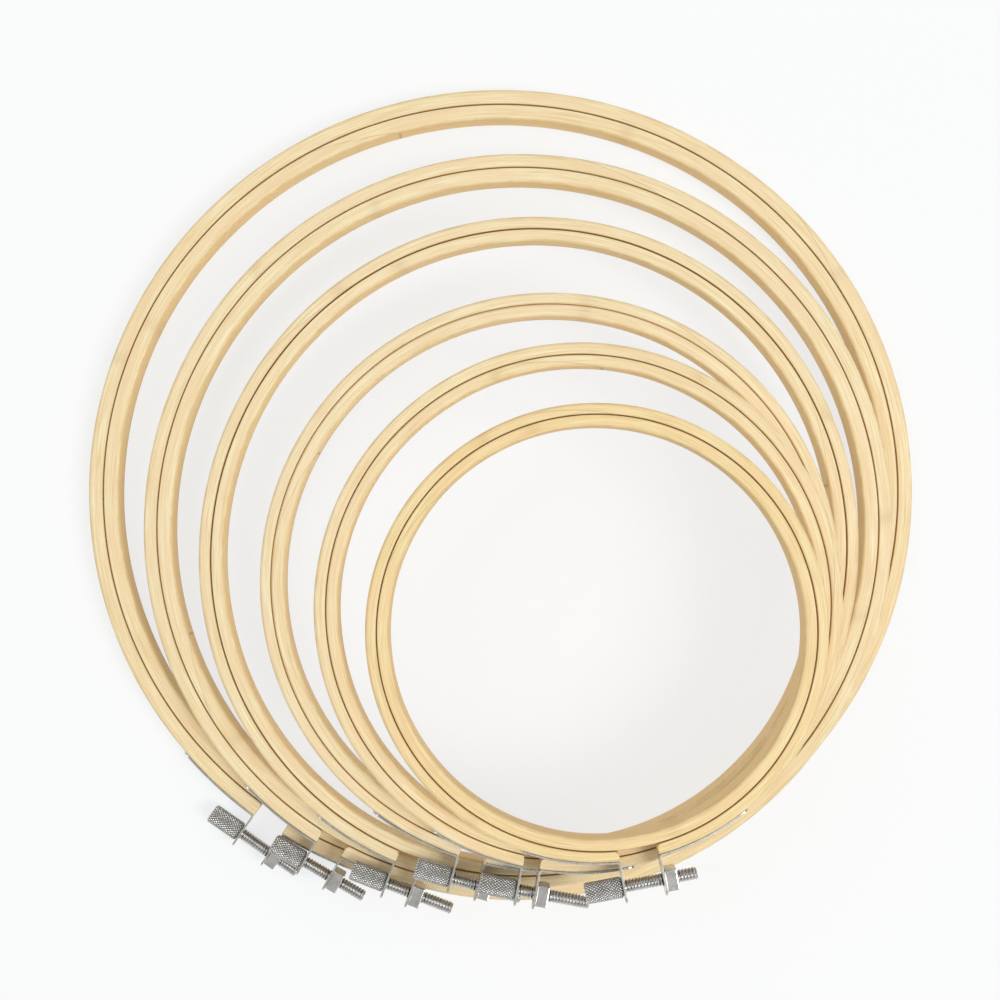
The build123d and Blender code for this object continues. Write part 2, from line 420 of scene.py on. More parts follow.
@dataclass(frozen=True)
class Hoop:
    """Sizes of one hoop. Its place, split and screw come from the frame.

    The joint angles say where the slanting glued joints of the two rings lie, seen from
    above, in degrees from the set's +X. The warmth is how far the bamboo leans to honey,
    from 0 to 1. The seam line is the share of the seam's gap that is left where the two
    rings all but touch, 1 where it is even all round.
    """

    number: int
    seam_radius: float
    outer_wall: float
    inner_wall: float
    split_gap: float
    oval_share: float
    oval_angle: float
    inner_joint_angle: float
    outer_joint_angle: float
    warmth: float
    seam_line: float

    @property
    def name(self) -> str:
        """The start of the names of this hoop's nodes and bodies."""
        return f"hoop_{self.number}"

    @property
    def centre(self) -> Vector:
        """The hoop's centre in metres, at the height of its lower face."""
        low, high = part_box(f"{self.name}_inner_ring")
        return Vector(((low.x + high.x) / 2, (low.y + high.y) / 2, low.z))

    @property
    def screw_joint(self) -> dict:
        """The thumbscrew's joint, whose axis points from the nut to the head."""
        return next(j for j in frame["joints"] if j["name"] == f"{self.name}_thumbscrew_turn")

    @property
    def split_angle(self) -> float:
        """Direction of the split. The screw's +Y is minus its joint's axis."""
        x, y, _ = self.screw_joint["axis"]
        return math.atan2(x, -y)

    @property
    def screw_x(self) -> float:
        """How far the screw's axis lies from the hoop's centre."""
        x, y, _ = self.screw_joint["pos_m"]
        return math.hypot(x - self.centre.x, y - self.centre.y) / MM

    @property
    def oval(self) -> Oval:
        """The seam's oval, turned as it lies in the hoop's frame."""
        turn = math.radians(self.oval_angle) - self.split_angle
        return Oval(self.seam_radius, self.oval_share, turn)

    @property
    def split_half_angle(self) -> float:
        """Angle from the split's middle to its edge, at the seam."""
        return math.asin(self.split_gap / 2 / self.seam_radius)

    @property
    def outer_face(self) -> float:
        """The outer ring's outer face, measured outwards from the seam."""
        return RING.gap / 2 + self.outer_wall

    def seam(self, t: np.ndarray) -> tuple[np.ndarray, np.ndarray]:
        """Half the seam's gap and its edges' round, least where the rings all but touch.

        The share that is left is 1 - (1 - seam_line) (1 + cos a) / 2, with a the angle from
        the touching side.

        Args:
            t: parameter of each station.

        Returns:
            Half the gap and the round at each station.
        """
        angle = t + self.oval.turn + self.split_angle - math.radians(RING.touch_angle)
        left = 1 - (1 - self.seam_line) * (1 + np.cos(angle)) / 2
        least = RING.least_seam_round
        return RING.gap / 2 * left, RING.seam_round * (least + (1 - least) * left)

    def placed(self, shell: Shell) -> Shell:
        """A surface of the hoop's frame in metres in the set's frame.

        Args:
            shell: the surface in millimetres in the hoop's frame.

        Returns:
            The surface turned by the split's angle and moved to the hoop's centre.
        """
        c, s = math.cos(self.split_angle), math.sin(self.split_angle)
        turn = np.array([[c, s, 0], [-s, c, 0], [0, 0, 1]])
        points = shell.points @ turn * MM + np.array(self.centre)
        return shell.moved(points)

    def on_screw(self, shell: Shell, start: float) -> Shell:
        """A surface drawn along +Z, laid on the screw's axis along +Y.

        Args:
            shell: the surface in millimetres about the Z axis.
            start: where its origin comes, measured along the screw from the split's middle.

        Returns:
            The surface in metres in the set's frame.
        """
        x, y, z = shell.points.T
        points = np.stack([self.screw_x + x, start + z, RING.height / 2 - y], axis=1)
        return self.placed(shell.moved(points))

    def world(self, x: float, y: float) -> tuple[float, float, float]:
        """A point of the hoop's frame at half height, in metres in the set's frame."""
        point = np.array([[x, y, RING.height / 2]])
        return tuple(self.placed(Shell(point, np.empty((0, 4), int))).points[0])


# Number, seam radius, outer wall, inner wall, split gap, oval share and angle, angles of the
# inner and the outer joint, warmth, seam line.
HOOPS = (
    Hoop(1, 127.0, 4.7, 4.8, 10.7, 0.023, 1.6, 112.0, 38.0, 0.25, 0.8),
    Hoop(2, 114.4, 4.3, 4.8, 9.0, 0.006, 27.0, 205.0, 74.0, 0.1, 0.6),
    Hoop(3, 100.0, 3.75, 3.9, 7.5, 0.026, 66.0, 20.0, 138.0, 0.15, 1.0),
    Hoop(4, 85.0, 3.5, 4.0, 8.0, 0.006, 12.0, 160.0, 60.0, 0.0, 0.12),
    Hoop(5, 75.8, 3.6, 3.7, 5.0, 0.008, 47.0, 95.0, 10.0, 0.3, 0.4),
    Hoop(6, 64.6, 3.3, 3.7, 11.5, 0.009, -1.0, 148.0, 98.0, 1.0, 0.6),
)


# Shader helpers

Socket = bpy.types.NodeSocket
Fed = Union[Socket, float, tuple]


class Tree:
    """A node tree that is filled by naming nodes and what goes into them."""

    def __init__(self, tree: bpy.types.NodeTree) -> None:
        """Starts with an empty tree.

        Args:
            tree: the node tree to fill.
        """
        self.tree = tree
        tree.nodes.clear()

    def node(self, kind: str, settings: Optional[dict] = None, **inputs: Fed) -> bpy.types.Node:
        """Adds a node.

        Args:
            kind: the node's type, without the words ShaderNode.
            settings: properties of the node.
            **inputs: values or output sockets for its inputs, by name with _ for a space,
                or by i and a number.

        Returns:
            The new node.
        """
        prefix = "" if kind.startswith("NodeGroup") else "ShaderNode"
        made = self.tree.nodes.new(prefix + kind)
        for key, value in (settings or {}).items():
            setattr(made, key, value)
        for key, value in inputs.items():
            numbered = key[0] == "i" and key[1:].isdigit()
            socket = made.inputs[int(key[1:]) if numbered else key.replace("_", " ")]
            if isinstance(value, bpy.types.NodeSocket):
                self.tree.links.new(value, socket)
            else:
                socket.default_value = value
        return made

    def math(self, operation: str, first: Fed, second: Fed = 0.0, third: Fed = 0.0,
             clamp: bool = False) -> Socket:
        """The output of a Math node on two or three values."""
        settings = {"operation": operation, "use_clamp": clamp}
        return self.node("Math", settings, i0=first, i1=second, i2=third).outputs[0]

    def times(self, first: Fed, second: Fed) -> Socket:
        """The product of two values."""
        return self.math("MULTIPLY", first, second)

    def spread(self, value: Fed, low: float, high: float, start: float = 0.0,
               end: float = 1.0) -> Socket:
        """A value that runs evenly from start to end while another runs from low to high."""
        return self.node("MapRange", i0=value, i1=low, i2=high, i3=start, i4=end).outputs[0]

    def kept(self, name: str, output: str = "Fac") -> Socket:
        """A value that the mesh keeps at its points."""
        return self.node("Attribute", {"attribute_name": name}).outputs[output]

    def mix(self, share: Fed, first: Fed, second: Fed, blend: str = "MIX") -> Socket:
        """Mixes two colours.

        Args:
            share: how much of the second.
            first: the first colour.
            second: the second colour.
            blend: the way they are mixed.

        Returns:
            The mixed colour.
        """
        settings = {"data_type": "RGBA", "blend_type": blend}
        return self.node("Mix", settings, i0=share, i6=first, i7=second).outputs[2]


def colour(red: float, green: float, blue: float) -> tuple[float, float, float, float]:
    """A colour as linear light: v / 12.92 for dark values, else ((v + 0.055) / 1.055)^2.4.

    Args:
        red: how much red it has on a screen, from 0 to 255.
        green: how much green.
        blue: how much blue.

    Returns:
        Red, green, blue and an alpha of 1.
    """
    share = np.array([red, green, blue]) / 255
    linear = np.where(share <= 0.04045, share / 12.92, ((share + 0.055) / 1.055) ** 2.4)
    return (*[float(v) for v in linear], 1.0)


def group(name: str, inputs: dict[str, str],
          outputs: dict[str, str]) -> tuple[bpy.types.NodeTree, Tree, bpy.types.Node]:
    """A new shader node group with named sockets.

    Args:
        name: the group's name.
        inputs: socket kind by name, each Float, Vector or Color.
        outputs: the same for the outputs.

    Returns:
        The group, its tree for filling, and its input node.
    """
    made = bpy.data.node_groups.new(name, "ShaderNodeTree")
    for sockets, way in ((inputs, "INPUT"), (outputs, "OUTPUT")):
        for socket, kind in sockets.items():
            made.interface.new_socket(socket, in_out=way, socket_type=f"NodeSocket{kind}")
    tree = Tree(made)
    return made, tree, tree.node("NodeGroupInput")


def fibre_group() -> bpy.types.NodeTree:
    """Fibres that run round a ring: noise drawn out along it and thin across it.

    Returns:
        A group that gives broad streaks, thin dark fibres and slow drifts of tone.
    """
    made, tree, source = group(
        "bamboo_fibres",
        {"Ring": "Vector", "Height": "Float", "Shift": "Float"},
        {"Streaks": "Float", "Fibres": "Float", "Drift": "Float"})
    ring, height, shift = (source.outputs[n] for n in ("Ring", "Height", "Shift"))

    def drawn_out(along: float, across: float, detail: float, seed: float) -> Socket:
        """Noise drawn out along the fibres.

        Args:
            along: length of its grain along the fibres, in millimetres.
            across: width of its grain across them.
            detail: how many finer layers it has.
            seed: where in the noise it is read.

        Returns:
            The noise's value.
        """
        scaled = tree.node("VectorMath", {"operation": "MULTIPLY"}, i0=ring,
                           i1=(1 / along, 1 / along, 1 / across))
        depth = tree.math("MULTIPLY_ADD", height, 1 / across, seed)
        depth = tree.math("ADD", depth, shift)
        noise = tree.node("TexNoise", {"noise_dimensions": "4D"}, Vector=scaled.outputs[0],
                          W=depth, Scale=1.0, Detail=detail, Roughness=0.6)
        return noise.outputs["Fac"]

    streaks = drawn_out(along=17.0, across=0.42, detail=3.5, seed=0.0)
    thin = drawn_out(along=15.0, across=0.16, detail=1.5, seed=40.0)
    thin = tree.spread(thin, low=0.6, high=0.74)
    drift = drawn_out(along=20.0, across=2.2, detail=2.5, seed=90.0)
    tree.node("NodeGroupOutput", Streaks=streaks, Fibres=thin, Drift=drift)
    return made


def wear_group(finer: float = 6.0) -> bpy.types.NodeTree:
    """Uneven marks: how much a surface is rubbed or dulled, from noise at two scales.

    Args:
        finer: how many times finer the speckle is than the patches.

    Returns:
        A group that gives a mask from a strength along the edges and a speckle.
    """
    made, tree, source = group(
        "edge_wear",
        {"Edge": "Float", "Scale": "Float", "Amount": "Float"},
        {"Mask": "Float", "Speckle": "Float"})
    place = tree.node("TexCoord").outputs["Object"]
    patchy = tree.node("TexNoise", Vector=place, Scale=source.outputs["Scale"], Detail=4.0)
    fine = tree.node("TexNoise", Vector=place, Detail=2.0, Roughness=0.7,
                     Scale=tree.times(source.outputs["Scale"], finer))
    broken = tree.spread(patchy.outputs["Fac"], low=0.35, high=0.7)
    mask = tree.times(source.outputs["Edge"], broken)
    mask = tree.math("MULTIPLY", mask, source.outputs["Amount"], clamp=True)
    tree.node("NodeGroupOutput", Mask=mask, Speckle=fine.outputs["Fac"])
    return made


FIBRES, WEAR = fibre_group(), wear_group()


@dataclass(frozen=True)
class Bamboo:
    """Fine sanded bare bamboo, one tone for each ring.

    A share is how much of a colour shows, and a range is what part of a noise's values, from
    nothing to full, brings out what it is named for.
    """

    name: str
    warmth: float
    # seam_line also sets how strong the painted shade along the seam is
    seam_line: float
    shift: float
    pale: tuple = colour(253, 243, 208)
    straw: tuple = colour(238, 214, 162)
    streak_range: tuple = (0.38, 0.62)
    rosy: tuple = colour(246, 219, 180)
    rosy_share: float = 0.7
    drift_range: tuple = (0.36, 0.64)
    honey: tuple = colour(255, 242, 206)
    honey_share: float = 0.55
    # Inner walls' tan: partly the bamboo's own tone, partly painted shade and bounce light on the
    # inner walls
    inside: tuple = colour(240, 205, 138)
    inside_tan_and_shade_share: float = 0.62
    # Painted shade on the walls that face each other across the seam's gap
    seam_gap_shade: tuple = colour(196, 152, 86)
    seam_gap_shade_share: float = 0.72
    rim: tuple = colour(214, 188, 134)
    rim_share: float = 0.45
    rim_scale: float = 160.0
    rim_amount: float = 1.6
    fibre: tuple = colour(176, 132, 74)
    fibre_share: float = 0.36
    warm_fibre_share: float = 0.2
    node_share: float = 0.15
    beyond_share: float = 0.16
    beyond_shift: float = 2.5
    # Dark brown: the glue at the joint, and painted shade along the seam's gap
    glue_and_seam_shade: tuple = colour(84, 54, 24)
    glue_and_seam_shade_share: float = 0.9
    joint_share: float = 0.36
    joint_line: tuple = (0.11, 0.03)
    # How the painted shade along the seam varies in patches
    seam_patches: float = 0.55
    patch_range: tuple = (0.4, 0.58)
    roughness: float = 0.52
    roughness_spread: tuple = (-0.07, 0.09)
    gloss_range: tuple = (0.3, 0.7)
    specular: float = 0.35
    relief: float = 0.00006
    relief_strength: float = 0.45
    fibre_relief: float = -0.6
    joint_relief: float = -1.5

    def material(self) -> bpy.types.Material:
        """The material: streaks and fibres along the ring, its joint, its nodes, and painted shade
        at its seam and, in part, on its inner walls.

        Returns:
            A new material that reads the ring's own point values.
        """
        made = bpy.data.materials.new(self.name)
        made.use_nodes = True
        tree = Tree(made.node_tree)

        near = tree.kept("joint_near")
        side = tree.kept("joint_side")
        beyond = tree.times(tree.math("GREATER_THAN", side, 0.0), near)
        shift = tree.math("MULTIPLY_ADD", beyond, self.beyond_shift, self.shift)
        fibres = tree.node("Group", {"node_tree": FIBRES}, Ring=tree.kept("ring", "Vector"),
                           Height=tree.kept("height"), Shift=shift).outputs
        wear = tree.node("Group", {"node_tree": WEAR}, Edge=tree.kept("edge"),
                         Scale=self.rim_scale, Amount=self.rim_amount).outputs

        # The wood's own tone, with painted shade on the seam's walls and, in part, on the inner
        # walls
        streaks = tree.spread(fibres["Streaks"], *self.streak_range)
        ground = tree.mix(streaks, self.pale, self.straw)
        drift = tree.spread(fibres["Drift"], *self.drift_range)
        ground = tree.mix(tree.times(drift, self.rosy_share), ground, self.rosy)
        ground = tree.mix(self.honey_share * self.warmth, ground, self.honey, "MULTIPLY")
        # Painted shade and bounce light on the inner walls, over the bamboo's own tan there
        ground = tree.mix(tree.times(tree.kept("inside"), self.inside_tan_and_shade_share), ground, self.inside)
        # Painted shade of the seam's gap on the walls beside it
        seam = tree.kept("seam")
        ground = tree.mix(tree.times(seam, self.seam_gap_shade_share), ground, self.seam_gap_shade)
        dark = self.fibre_share + self.warm_fibre_share * self.warmth
        ground = tree.mix(tree.times(fibres["Fibres"], dark), ground, self.fibre)
        ground = tree.mix(tree.times(beyond, self.beyond_share), ground, self.straw)
        ground = tree.mix(tree.times(tree.kept("node"), self.node_share), ground, self.fibre)

        # The glue's line at the joint, painted shade along the seam's gap at the rims, and the
        # rubbed rims
        line = tree.spread(tree.math("ABSOLUTE", side), *self.joint_line)
        line = tree.times(line, tree.math("GREATER_THAN", near, 0.5))
        patches = tree.spread(fibres["Drift"], *self.patch_range, start=self.seam_patches)
        # Painted shade along the seam's gap, at its rims, in patches
        joint_glue_and_seam_shade = tree.times(tree.times(seam, tree.kept("edge_line")),
                           tree.times(patches, self.seam_line))
        joint_glue_and_seam_shade = tree.math("MAXIMUM", tree.times(line, self.joint_share), joint_glue_and_seam_shade)
        ground = tree.mix(tree.times(joint_glue_and_seam_shade, self.glue_and_seam_shade_share), ground, self.glue_and_seam_shade)
        ground = tree.mix(tree.times(wear["Mask"], self.rim_share), ground, self.rim)

        relief = tree.math("MULTIPLY_ADD", fibres["Fibres"], self.fibre_relief, fibres["Streaks"])
        relief = tree.math("MULTIPLY_ADD", line, self.joint_relief, relief)
        bump = tree.node("Bump", Strength=self.relief_strength, Distance=self.relief, Height=relief)
        smoother, rougher = (self.roughness + change for change in self.roughness_spread)
        rough = tree.spread(fibres["Streaks"], *self.gloss_range, smoother, rougher)
        shader = tree.node("BsdfPrincipled", Base_Color=ground, Roughness=rough,
                           Normal=bump.outputs[0], Specular_IOR_Level=self.specular)
        tree.node("OutputMaterial", Surface=shader.outputs[0])
        return made


@dataclass(frozen=True)
class Plating:
    """Plated steel with dull patches, a fine speckle and painted shade in its grooves."""

    name: str
    bright: tuple
    dull: tuple
    roughness: float
    speckle: float
    scale: float
    dull_share: float = 0.6
    # Painted shade in the grooves, with a rougher finish there
    groove_shade: tuple = colour(76, 73, 68)
    groove_shade_share: float = 0.88
    groove_roughness: float = 0.3
    relief: float = 0.00002
    relief_strength: float = 0.3

    def material(self) -> bpy.types.Material:
        """The material: a metal whose colour and gloss vary in patches and fine speckles.

        Returns:
            A new metal material.
        """
        made = bpy.data.materials.new(self.name)
        made.use_nodes = True
        tree = Tree(made.node_tree)
        wear = tree.node("Group", {"node_tree": WEAR}, Edge=1.0, Scale=self.scale,
                         Amount=1.0).outputs
        hollow = tree.kept("hollow")
        ground = tree.mix(tree.times(wear["Mask"], self.dull_share), self.bright, self.dull)
        # Painted shade in the thread's and the knurl's grooves
        ground = tree.mix(tree.times(hollow, self.groove_shade_share), ground, self.groove_shade)
        rough = tree.math("MULTIPLY_ADD", wear["Speckle"], self.speckle,
                          self.roughness - self.speckle / 2)
        rough = tree.math("MULTIPLY_ADD", hollow, self.groove_roughness, rough)
        bump = tree.node("Bump", Strength=self.relief_strength, Distance=self.relief,
                         Height=wear["Speckle"])
        shader = tree.node("BsdfPrincipled", Base_Color=ground, Roughness=rough, Metallic=1.0,
                           Normal=bump.outputs[0])
        tree.node("OutputMaterial", Surface=shader.outputs[0])
        return made


PLATED_SHEET = Plating("plated_sheet", colour(222, 220, 214), colour(172, 169, 163),
                       roughness=0.28, speckle=0.2, scale=260.0)
PLATED_STEEL = Plating("plated_steel", colour(228, 227, 225), colour(176, 174, 170),
                       roughness=0.2, speckle=0.16, scale=420.0)
TACK_STEEL = Plating("tack_steel", colour(172, 165, 154), colour(112, 105, 96),
                     roughness=0.38, speckle=0.2, scale=500.0)
MATERIALS: dict[str, bpy.types.Material] = {}


# Pieces

# What sets each ring's own cane nodes, uneven walls and grain
NODE_SEED, INNER_SEED, OUTER_SEED = 40, 10, 20
GRAIN_STEP = 7.0


@dataclass
class BambooRing:
    """What the two rings of a hoop share: their section and the values at their points."""

    hoop: Hoop

    def section(self, inner: np.ndarray, outer: np.ndarray, inset: np.ndarray,
                rounds: tuple) -> tuple[np.ndarray, np.ndarray, np.ndarray]:
        """Sections of the strip at many stations, as rounded rectangles.

        Args:
            inner: offset of the inner wall at each station.
            outer: offset of the outer wall at each station.
            inset: how far each section is drawn in all round, as at a rounded end.
            rounds: corner radii at the inner and at the outer wall.

        Returns:
            Offsets and heights, both (stations, points), and the share of a round.
        """
        low = np.stack([inner + inset, inset], axis=1)
        high = np.stack([outer - inset, RING.height - inset], axis=1)
        inner_round, outer_round = (np.maximum(r - inset, r * RING.least_round) for r in rounds)
        corners = (inner_round, outer_round, outer_round, inner_round)
        line, into = rounded_box_line(low, high, corners, RING.corner_steps, RING.side_steps)
        return line[:, :, 0], line[:, :, 1], into

    def values(self, t: np.ndarray, offset: np.ndarray, height: np.ndarray, into: np.ndarray,
               walls: tuple[float, float], joint_angle: float) -> dict[str, np.ndarray]:
        """What the material reads at each point.

        The ring value is (r cos a, r sin a, offset) with a the angle round the hoop, which
        closes on itself, so the fibres have no break. The joint's side is the distance from
        a line that slants across the wall over the joint's length, and a node's value is a
        bell curve of the distance along the strip from the middle of that node. The seam and
        edge lines fall off smoothly from the seam's wall and from the two rims.

        Args:
            t: parameter of each point.
            offset: offset of each point.
            height: height of each point.
            into: share of a corner's round of each section point.
            walls: offsets of the inner and the outer wall.
            joint_angle: where the joint lies, in degrees from the set's +X.

        Returns:
            Arrays by name, one value or vector for each point.
        """
        radius, low, high = self.hoop.seam_radius, *walls
        around = t + self.hoop.oval.turn
        across = (offset - low) / (high - low)
        from_joint = around + self.hoop.split_angle - math.radians(joint_angle)
        along = radius * ((from_joint + math.pi) % TURN - math.pi)
        slope = (high - low) / RING.joint_length
        side = (along - RING.joint_length * (across - 0.5)) * slope / math.hypot(1, slope)
        near = smoothstep(1 - np.abs(along) / RING.joint_window) * np.ones_like(side)
        random = np.random.default_rng(NODE_SEED + self.hoop.number * 2 + (low > 0))
        count = max(2, round(TURN * radius / RING.node_spacing))
        scatter = random.uniform(-RING.node_scatter, RING.node_scatter, count)
        places = (np.arange(count) + scatter) * TURN / count
        apart = (around[:, :, None] - places + math.pi) % TURN - math.pi
        slant = random.uniform(-RING.node_slant, RING.node_slant, count)
        apart = radius * apart + (across[:, :, None] - 0.5) * slant
        node = np.exp(-((apart / RING.node_width) ** 2)).sum(axis=2)
        ring = np.stack([radius * np.cos(around), radius * np.sin(around), offset], axis=2)
        return {
            "ring": ring.reshape(-1, 3),
            "height": height.ravel(),
            "edge": np.broadcast_to(into, offset.shape).ravel(),
            # Near the seam's walls: where the painted shade of the seam's gap goes
            "seam": smoothstep(1 - (np.abs(offset) - RING.gap / 2) / RING.seam_shade_width).ravel(),
            # Near the rims: where painted shade along the seam's gap shows
            "edge_line": smoothstep(
                (np.abs(height - RING.height / 2) - RING.height / 2) / RING.edge_line_width + 1).ravel(),
            # Near the inner ring's inner wall: where its tan and painted shade go
            "inside": smoothstep(1 - across / RING.inside_depth).ravel() * (low < 0),
            "joint_side": side.ravel(),
            "joint_near": near.ravel(),
            "node": node.ravel(),
        }

    def uneven(self, t: np.ndarray, seed: int) -> np.ndarray:
        """How much thinner a wall is at each station, from zero up: slow waves added.

        Args:
            t: parameter of each station.
            seed: what sets the waves' phases.

        Returns:
            Thinning at each station.
        """
        phases = np.random.default_rng(seed).uniform(0, TURN, len(RING.waves))
        waves = sum(np.sin(n * t + p) for n, p in zip(RING.waves, phases))
        return RING.unevenness * (0.5 + waves / (2 * len(RING.waves)))

    def finish(self, piece: bpy.types.Object, side: str, shift: float) -> None:
        """Gives a ring its material.

        Args:
            piece: the ring's object.
            side: which ring it is, for the material's name.
            shift: what sets this ring's own fibres.
        """
        hoop = self.hoop
        bamboo = Bamboo(f"bamboo_{hoop.number}_{side}", hoop.warmth, hoop.seam_line, shift)
        piece.data.materials.append(bamboo.material())


@dataclass
class InnerRing(BambooRing):
    """The closed ring inside: a strip bent round, with its ends glued in a slanting joint."""

    def shape(self) -> Shell:
        """A rounded rectangle carried round the seam's oval and closed on itself.

        Returns:
            The ring in the hoop's frame.
        """
        hoop = self.hoop
        stations = round(TURN * hoop.seam_radius / RING.step)
        t = TURN * np.arange(stations) / stations
        half_gap, seam_round = hoop.seam(t)
        outer = -half_gap
        inner = outer - hoop.inner_wall + self.uneven(t, INNER_SEED + hoop.number)
        offset, height, into = self.section(inner, outer, np.zeros(stations),
                                            (RING.rim_round, seam_round))
        x, y = hoop.oval.point(t[:, None], offset)
        points = np.stack([x, y, height], axis=2).reshape(-1, 3)
        walls = (-RING.gap / 2 - hoop.inner_wall, -RING.gap / 2)
        values = self.values(t[:, None] * np.ones_like(offset), offset, height, into, walls,
                             hoop.inner_joint_angle)
        return Shell(points, grid_quads(*offset.shape, True, True), (), values)

    def make(self) -> bpy.types.Object:
        """Builds the ring, which rides on the inner body and stands for the inner ring's node.

        Returns:
            The ring's object.
        """
        hoop = self.hoop
        piece = build(f"{hoop.name}_inner_bamboo", hoop.placed(self.shape()))
        self.finish(piece, "inner", GRAIN_STEP * hoop.number)
        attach(piece, f"{hoop.name}_inner")
        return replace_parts(piece, f"{hoop.name}_inner_ring")


@dataclass
class OuterRing(BambooRing):
    """The split ring outside, one springy strip from the nut's end round to the head's."""

    def shape(self) -> Shell:
        """A rounded rectangle carried round the oval from one side of the split to the other.

        At a distance d from an end's plane the section is drawn in by r - sqrt(r^2 - (r - d)^2)
        all round, and its seam side by the same with the larger radius of the end's corner.

        Returns:
            The ring in the hoop's frame, closed by a flat face at each end.
        """
        hoop = self.hoop
        stations = round(TURN * hoop.seam_radius / RING.step)
        fall = np.linspace(math.pi / 2, 0, RING.end_steps)
        from_end = RING.end_round * (1 - np.sin(fall))
        back = hoop.split_gap / 2 + from_end

        def drawn_in(radius: float) -> np.ndarray:
            """How far a round draws the section in near the two ends.

            Args:
                radius: the round's radius.

            Returns:
                The inset at each station, zero away from the ends.
            """
            left = np.clip(radius - from_end, 0, radius)
            end = radius - np.sqrt(radius**2 - left**2)
            return np.concatenate([end, np.zeros(stations), end[::-1]])

        inset = drawn_in(RING.seam_round)
        ends = RING.end_steps
        share = np.concatenate([np.zeros(ends), np.arange(1, stations + 1) / (stations + 1),
                                np.ones(ends)])
        half_gap, seam_round = hoop.seam(TURN * share)
        seam_side = half_gap + drawn_in(RING.end_round) - inset
        walls = (RING.gap / 2, hoop.outer_face)
        outer = walls[1] - self.uneven(TURN * share, OUTER_SEED + hoop.number)
        offset, height, into = self.section(seam_side, outer, inset,
                                            (seam_round, RING.rim_round))
        t = np.empty_like(offset)
        t[:ends] = hoop.oval.crossing(back[:, None], offset[:ends])
        t[-ends:] = TURN + hoop.oval.crossing(-back[::-1, None], offset[-ends:])
        first = hoop.oval.crossing(back[-1], offset[ends:-ends])
        last = TURN + hoop.oval.crossing(-back[-1], offset[ends:-ends])
        t[ends:-ends] = first + (last - first) * share[ends:-ends, None]
        x, y = hoop.oval.point(t, offset)
        points = np.stack([x, y, height], axis=2).reshape(-1, 3)
        values = self.values(t, offset, height, into, walls, hoop.outer_joint_angle)
        rows, columns = offset.shape
        start = list(range(columns))
        end = list(range((rows - 1) * columns, rows * columns))[::-1]
        return Shell(points, grid_quads(rows, columns, False, True), (start, end), values)

    def make(self) -> bpy.types.Object:
        """Builds the ring.

        Returns:
            The ring's object.
        """
        hoop = self.hoop
        piece = build(f"{hoop.name}_outer_bamboo", hoop.placed(self.shape()))
        self.finish(piece, "outer", GRAIN_STEP * (hoop.number + 0.5))
        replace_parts(piece, f"{hoop.name}_outer_ring_head_end", f"{hoop.name}_outer_ring_nut_end")
        reach = RING.bend_share * hoop.split_gap
        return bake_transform(piece, f"{hoop.name}_head_end", f"{hoop.name}_nut_end",
                        start=hoop.world(0, -reach), end=hoop.world(0, reach))


